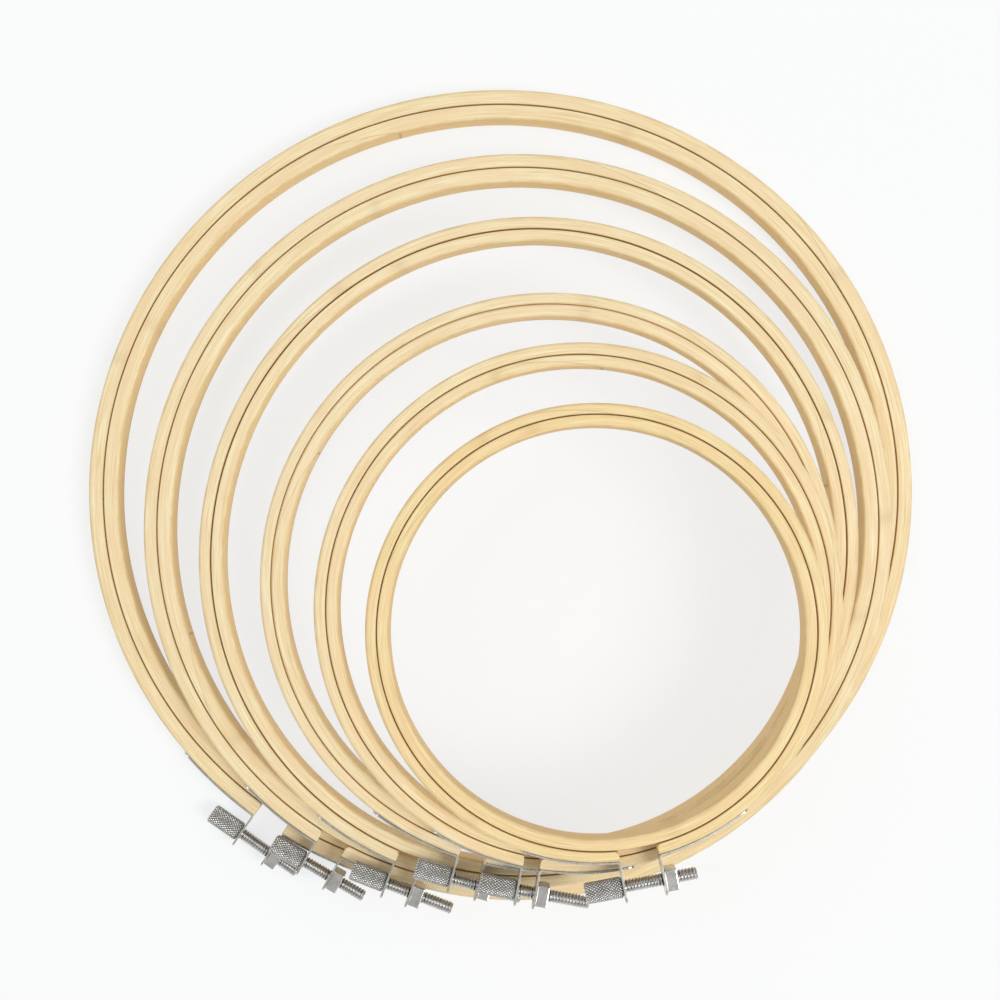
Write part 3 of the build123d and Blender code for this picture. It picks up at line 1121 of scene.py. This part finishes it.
@dataclass
class Bracket:
    """A strip of sheet metal tacked along the outer ring and bent outwards into an ear."""

    hoop: Hoop
    end: End

    def path(self) -> np.ndarray:
        """The middle line of the sheet seen from above, from the strip's end to the ear's tip.

        It follows the oval at half a thickness outside the ring, turns through an arc whose
        centre lies one mean bend radius from that line and from the ear's, on the strip's
        side, and then runs straight outwards.

        Returns:
            Closely spaced points (x, y).
        """
        hoop, side, half = self.hoop, self.end.value, SHEET.thickness / 2
        bend = SHEET.bend_inside_radius + half
        ear_y = side * (hoop.split_gap / 2 + half)
        centre_y = ear_y + side * bend
        near = hoop.oval.crossing(centre_y, hoop.outer_face + half + bend)
        centre_x = hoop.oval.point(near, hoop.outer_face + half + bend)[0]
        far_angle = side * (hoop.split_half_angle + SHEET.strip_length / hoop.seam_radius)
        far = far_angle - hoop.oval.turn
        far += TURN * round((near - far) / TURN)
        t = np.linspace(far, near, SHEET.path_points)
        strip = np.stack(hoop.oval.point(t, hoop.outer_face + half), axis=1)
        start = math.atan2(strip[-1, 1] - centre_y, strip[-1, 0] - centre_x)
        finish = -side * math.pi / 2
        start += TURN * round((finish - start) / TURN)
        angle = np.linspace(start, finish, SHEET.bend_points)[1:]
        arc = np.stack([centre_x + bend * np.cos(angle), centre_y + bend * np.sin(angle)], axis=1)
        tip = hoop.oval.wall(hoop.outer_face, 0.0)[0] + SHEET.ear_reach
        return np.vstack([strip, arc, [[tip, ear_y]]])

    def flat(self, length: float, ear_start: float, hole: float) -> Shell:
        """The sheet before it is bent, along its length and its height.

        The strip is a grid whose half height falls by r - sqrt(r^2 - (r - s)^2) near its
        rounded end. The ear is a fan of straight lines from the hole's circle to its outline.

        Args:
            length: from the strip's end to the ear's tip.
            ear_start: where the ear's flat starts.
            hole: where the middle of the screw's hole lies.

        Returns:
            A flat sheet whose points are (length, height, 0).
        """
        half, r, columns = SHEET.height / 2, SHEET.corner_radius, SHEET.rows + 1
        quarter = np.linspace(0, math.pi / 2, SHEET.corner_points)
        fine_start = ear_start - SHEET.fine_length
        along = np.concatenate([r * (1 - np.cos(quarter)),
                                np.linspace(r, fine_start, SHEET.strip_steps + 1)[1:],
                                np.linspace(fine_start, ear_start, SHEET.fine_steps + 1)[1:]])
        near_end = np.clip(r - along, 0, r)
        height = half - (r - np.sqrt(r**2 - near_end**2))
        strip = np.stack([np.broadcast_to(along[:, None], (len(along), columns)),
                          height[:, None] * np.linspace(1, -1, columns)], axis=2)

        low = np.stack([length - r + r * np.sin(quarter), -half + r - r * np.cos(quarter)], axis=1)
        high = low[::-1] * np.array([1, -1])
        run = np.linspace(ear_start, length - r, SHEET.ear_steps + 1)[1:-1]
        tip = np.linspace(-half + r, half - r, SHEET.tip_steps + 1)[1:-1]
        outline = np.vstack([
            strip[-1], np.stack([run, np.full(len(run), -half)], axis=1), low,
            np.stack([np.full(len(tip), length), tip], axis=1), high,
            np.stack([run[::-1], np.full(len(run), half)], axis=1)])
        centre = np.array([hole, 0.0])
        spoke = outline - centre
        inner = centre + spoke / np.linalg.norm(spoke, axis=1)[:, None] * SHEET.hole_diameter / 2
        step = np.linspace(0, 1, SHEET.rings + 1)[:, None, None] ** SHEET.ring_crowding
        fan = outline * (1 - step) + inner * step

        # The fan's first points are the strip's last row, so its numbers start there.
        strip_quads = grid_quads(len(along), columns, False, False)
        fan_quads = grid_quads(SHEET.rings + 1, len(outline), False, True)
        quads = np.vstack([strip_quads, fan_quads + (len(along) - 1) * columns])
        points = np.vstack([strip.reshape(-1, 2), fan.reshape(-1, 2)[columns:]])
        return Shell(np.column_stack([points, np.zeros(len(points))]), quads)

    def shape(self) -> Shell:
        """The flat sheet carried along its path: length along the path, height upwards.

        Returns:
            The middle surface of the sheet in the hoop's frame.
        """
        path = self.path()
        run = np.concatenate([[0], np.cumsum(np.linalg.norm(np.diff(path, axis=0), axis=1))])
        tip = path[-1, 0]
        hole = run[-1] - (tip - self.hoop.screw_x)
        sheet = self.flat(run[-1], run[-2], hole)
        along, height, _ = sheet.points.T
        x, y = (np.interp(along, run, path[:, n]) for n in (0, 1))
        points = np.stack([x, y, height + RING.height / 2], axis=1)
        return Shell(points, sheet.quads)

    def make(self) -> bpy.types.Object:
        """Builds the bracket, gives it its thickness and rounds its edges.

        Returns:
            The bracket's object.
        """
        hoop, word = self.hoop, self.end.word
        piece = build(f"{hoop.name}_{word}_sheet", hoop.placed(self.shape()))
        solid = piece.modifiers.new("thickness", "SOLIDIFY")
        solid.thickness, solid.offset, solid.use_even_offset = SHEET.thickness * MM, 0.0, True
        bevel = piece.modifiers.new("edges", "BEVEL")
        bevel.width, bevel.segments = SHEET.edge_round * MM, SHEET.edge_steps
        bevel.limit_method, bevel.angle_limit = "ANGLE", math.radians(SHEET.edge_angle)
        bevel.harden_normals = True
        piece.data.materials.append(MATERIALS["plated_sheet"])
        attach(piece, f"{hoop.name}_{word}_end")
        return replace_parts(piece, f"{hoop.name}_{word}_bracket")


@dataclass
class Tacks:
    """The two tacks of a bracket: low domed heads on the strip."""

    hoop: Hoop
    end: End

    def head(self) -> Shell:
        """A dome turned about Z: a short upright lip and then a quarter of an ellipse.

        Returns:
            One head along +Z from the sheet's face.
        """
        radius = TACK.head_diameter / 2
        rise = np.linspace(0, math.pi / 2, TACK.rise_steps + 1)[:-1]
        dome = np.stack([radius * np.cos(rise),
                         TACK.lip + (TACK.head_height - TACK.lip) * np.sin(rise)], axis=1)
        profile = np.vstack([[[radius, -TACK.sunk]], dome, [[TACK.pole_radius, TACK.head_height]]])
        return turned(np.repeat(profile[:, :1], TACK.steps, axis=1), profile[:, 1])

    def shape(self) -> Shell:
        """Both heads on the strip, each turned so that its axis is the wall's normal.

        Returns:
            Two domes in the hoop's frame.
        """
        hoop, dome = self.hoop, self.head()
        x, y, z = dome.points.T
        out = z + SHEET.thickness
        heads = []
        for distance in (TACK.near, TACK.far):
            angle = self.end.value * (hoop.split_half_angle + distance / hoop.seam_radius)
            radius, normal = hoop.oval.wall(hoop.outer_face, angle)
            c, s = math.cos(normal), math.sin(normal)
            heads.append(dome.moved(np.stack([radius * math.cos(angle) + out * c - x * s,
                                              radius * math.sin(angle) + out * s + x * c,
                                              RING.height / 2 + y], axis=1)))
        return heads[0].joined(heads[1])

    def make(self) -> bpy.types.Object:
        """Builds the two heads, which ride with the bracket.

        Returns:
            The object of both heads.
        """
        hoop, word = self.hoop, self.end.word
        piece = build(f"{hoop.name}_{word}_tack_heads", hoop.placed(self.shape()))
        piece.data.materials.append(MATERIALS["tack_steel"])
        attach(piece, f"{hoop.name}_{word}_end")
        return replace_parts(piece, f"{hoop.name}_{word}_bracket_tacks")


@dataclass
class Thumbscrew:
    """A threaded rod with a knurled barrel for a head."""

    hoop: Hoop

    def rod(self) -> Shell:
        """The rod: its radius falls by the thread's depth between one crest and the next.

        With w = z / pitch less a / 2 pi, the groove is a rounded V: the thread's depth times
        a power of w's ridge. At the tip the radius is also held under a cone.

        Returns:
            The rod along +Z from the barrel's inner end.
        """
        turns = SCREW.rod_length / SCREW.thread_pitch
        height = np.linspace(0, SCREW.rod_length, round(turns * SCREW.rows_per_pitch) + 1)
        angle = np.arange(SCREW.rod_steps) / SCREW.rod_steps
        groove = ridge(height[:, None] / SCREW.thread_pitch - angle) ** SCREW.thread_power
        top = SCREW.rod_diameter / 2
        fade = smoothstep(height[:, None] / SCREW.thread_pitch)
        radius = top - SCREW.thread_depth * groove * fade
        cone = top - SCREW.rod_tip + np.clip(SCREW.rod_length - height[:, None], 0, None)
        # The grooves' depth also sets the painted shade in them
        return turned(np.minimum(radius, cone), height, SCREW.thread_shade * groove * fade)

    def barrel(self) -> Shell:
        """The barrel: two sets of helical grooves cross and leave rows of diamonds.

        The two ridges run along n a / 2 pi plus and minus z / length, and the height of a
        diamond is the lower of the two. Painted shade lies where a diamond is lowest, and the
        chamfered ends are plain.

        Returns:
            The barrel along -Z from its inner end.
        """
        rows = round(SCREW.head_length / SCREW.diamond_length * SCREW.samples_per_diamond)
        columns = SCREW.diamonds_around * SCREW.samples_per_diamond
        chamfer = SCREW.head_chamfer
        height = np.concatenate([[0.0], np.linspace(chamfer, SCREW.head_length - chamfer, rows),
                                 [SCREW.head_length]])
        angle = np.arange(columns) / SCREW.samples_per_diamond
        along = height[:, None] / SCREW.diamond_length
        diamond = smoothstep(SCREW.diamond_flat * np.minimum(ridge(angle + along),
                                                             ridge(angle - along)))
        from_end = np.minimum(height, SCREW.head_length - height)[:, None]
        full = SCREW.head_diameter / 2
        radius = full - SCREW.diamond_depth * (1 - diamond)
        radius = np.where(from_end < chamfer, full - chamfer, radius)
        # Painted shade where a diamond is lowest
        knurl_groove_shade = smoothstep(SCREW.knurl_shade - 2 * diamond)
        hollow = np.where(from_end < chamfer, 0, knurl_groove_shade)
        shell = turned(radius, height, hollow)
        shell.points[:, 2] -= SCREW.head_length
        return shell

    def make(self) -> bpy.types.Object:
        """Builds the rod and barrel in one mesh, which rides on the screw's body.

        Returns:
            The thumbscrew's object.
        """
        hoop = self.hoop
        seat = -hoop.split_gap / 2 - SHEET.thickness - SCREW.head_seat_gap
        both = self.barrel().joined(self.rod())
        piece = build(f"{hoop.name}_knurled_screw", hoop.on_screw(both, seat))
        piece.data.materials.append(MATERIALS["plated_steel"])
        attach(piece, f"{hoop.name}_screw")
        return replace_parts(piece, f"{hoop.name}_thumbscrew")


@dataclass
class SquareNut:
    """The square nut outside the second ear."""

    hoop: Hoop

    def shape(self) -> Shell:
        """A square with rounded corners and a bore, carried round the bore's axis.

        Column j lies on a line from the axis to the square's outline, which it meets at a
        distance d. Row i has the radius share_i d + extra_i and the height_i. The rows run up
        the bore, out over the face, down the side and back under, with each edge cut off.

        Returns:
            The nut along +Z from its seat.
        """
        half, thick, cut = SCREW.nut_width / 2, SCREW.nut_thickness, SCREW.nut_chamfer
        outline = rounded_box_line(np.array([-half, -half]), np.array([half, half]),
                                   (SCREW.nut_corner,) * 4, SCREW.nut_corner_steps,
                                   SCREW.nut_side_steps)[0][0]
        reach = np.linalg.norm(outline, axis=1)
        bore = SCREW.rod_diameter / 2 + SCREW.nut_bore_gap
        share, extra, height = np.array([
            (0, bore, cut), (0, bore, thick - cut), (0, bore + cut, thick),
            (0.5, bore / 2, thick), (1, -cut, thick), (1, -cut / 4, thick - cut / 4),
            (1, 0, thick - cut), (1, 0, cut), (1, -cut / 4, cut / 4), (1, -cut, 0),
            (0.5, bore / 2, 0), (0, bore + cut, 0)])[:, :, None].transpose(1, 0, 2)
        radius = share * reach + extra
        flat = radius[:, :, None] * (outline / reach[:, None])
        points = np.dstack([flat, np.broadcast_to(height, radius.shape)]).reshape(-1, 3)
        return Shell(points, grid_quads(*radius.shape, True, True))

    def make(self) -> bpy.types.Object:
        """Builds the nut, which rides on its own body.

        Returns:
            The nut's object.
        """
        hoop = self.hoop
        seat = hoop.split_gap / 2 + SHEET.thickness + SCREW.nut_seat_gap
        piece = build(f"{hoop.name}_nut_block", hoop.on_screw(self.shape(), seat), smooth=False)
        piece.data.materials.append(MATERIALS["plated_steel"])
        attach(piece, f"{hoop.name}_nut")
        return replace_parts(piece, f"{hoop.name}_square_nut")


# The studio


@dataclass(frozen=True)
class Lamp:
    """A square area lamp aimed at the hoops: metres and watts."""

    name: str
    place: tuple
    size: float
    power: float
    tint: tuple

    def make(self) -> None:
        """Hangs the lamp and turns it to the origin."""
        data = bpy.data.lights.new(self.name, "AREA")
        data.shape, data.size, data.energy, data.color = "SQUARE", self.size, self.power, self.tint
        lamp = bpy.data.objects.new(self.name, data)
        lamp.location = self.place
        lamp.rotation_euler = (-Vector(self.place)).to_track_quat("-Z", "Y").to_euler()
        bpy.context.scene.collection.objects.link(lamp)


@dataclass
class Studio:
    """A pale floor, soft light from above and the camera.

    Sizes are in millimetres, but the distances over which the floor's glow grows are in
    metres.
    """

    camera_x: float = -0.18
    camera_y: float = -2.42
    camera_height: float = 504.0
    lens: float = 55.13
    sensor: float = 36.0
    floor_size: float = 12000.0
    floor_drop: float = 0.05
    floor_colour: tuple = colour(251, 252, 253)
    floor_glow: float = 0.74
    glow_from: float = 0.2
    glow_to: float = 1.4
    sky_colour: tuple = colour(255, 254, 251)
    sky_strength: float = 0.5
    lamps: tuple = (Lamp("key", (1.3, -0.55, 2.0), 1.1, 26.5, (1.0, 0.993, 0.98)),
                    Lamp("fill", (-0.7, 0.5, 1.3), 1.0, 4.2, (1.0, 1.0, 1.0)))

    def floor(self) -> None:
        """The floor: pale, with the hoops' shadow. Camera, glossy and clear rays see it lit.

        Its glow grows evenly with the distance from the middle, up to white.
        """
        half, drop = self.floor_size / 2, self.floor_drop
        corners = np.array([[-half, -half, -drop], [half, -half, -drop], [half, half, -drop],
                            [-half, half, -drop]])
        piece = build("floor", Shell(corners * MM, np.array([[0, 1, 2, 3]])))
        made = bpy.data.materials.new("pale_floor")
        made.use_nodes = True
        tree = Tree(made.node_tree)
        path = tree.node("LightPath").outputs
        seen = tree.math("MAXIMUM", path["Is Camera Ray"], path["Is Glossy Ray"])
        seen = tree.math("MAXIMUM", seen, path["Is Transmission Ray"])
        matt = tree.node("BsdfDiffuse", Color=self.floor_colour)
        lit = tree.node("Emission", Color=self.floor_colour, Strength=1.0)
        place = tree.node("TexCoord").outputs["Object"]
        away = tree.node("VectorMath", {"operation": "LENGTH"}, i0=place).outputs["Value"]
        glow = tree.spread(away, self.glow_from, self.glow_to, start=self.floor_glow)
        both = tree.node("MixShader", i0=tree.times(seen, glow), i1=matt.outputs[0],
                         i2=lit.outputs[0])
        tree.node("OutputMaterial", Surface=both.outputs[0])
        piece.data.materials.append(made)

    def sky(self) -> None:
        """The room: white to the camera, and a soft even light on the hoops."""
        world = bpy.data.worlds.new("room")
        world.use_nodes = True
        tree = Tree(world.node_tree)
        path = tree.node("LightPath").outputs
        seen = tree.math("MAXIMUM", path["Is Camera Ray"], path["Is Transmission Ray"])
        room = tree.node("Background", Color=self.sky_colour, Strength=self.sky_strength)
        white = tree.node("Background", Color=(1, 1, 1, 1), Strength=1.0)
        both = tree.node("MixShader", i0=seen, i1=room.outputs[0], i2=white.outputs[0])
        tree.node("OutputWorld", Surface=both.outputs[0])
        bpy.context.scene.world = world

    def camera(self) -> None:
        """The camera looks straight down from half a metre, with +Y up in the picture."""
        base = HOOPS[0].centre
        data = bpy.data.cameras.new("camera")
        data.lens, data.sensor_width, data.sensor_fit = self.lens, self.sensor, "AUTO"
        data.clip_start = 0.01
        made = bpy.data.objects.new("camera", data)
        made.location = (base.x + self.camera_x * MM, base.y + self.camera_y * MM,
                         self.camera_height * MM)
        bpy.context.scene.collection.objects.link(made)
        bpy.context.scene.camera = made

    def make(self) -> None:
        """Builds the floor, the light and the camera."""
        self.floor()
        self.sky()
        for lamp in self.lamps:
            lamp.make()
        self.camera()


def main() -> None:
    """Builds every hoop, largest first, and then the studio."""
    logging.basicConfig(level=logging.INFO, format="%(name)s: %(message)s")
    bpy.context.scene.view_settings.view_transform = "Standard"
    for finish in (PLATED_SHEET, PLATED_STEEL, TACK_STEEL):
        MATERIALS[finish.name] = finish.material()
    for hoop in HOOPS:
        pieces = [InnerRing(hoop), OuterRing(hoop), Thumbscrew(hoop), SquareNut(hoop)]
        pieces += [kind(hoop, end) for end in End for kind in (Bracket, Tacks)]
        for piece in pieces:
            made = piece.make()
            LOG.info("%s: %d faces", made.name, len(made.data.polygons))
    Studio().make()


if __name__ == "__main__":
    main()
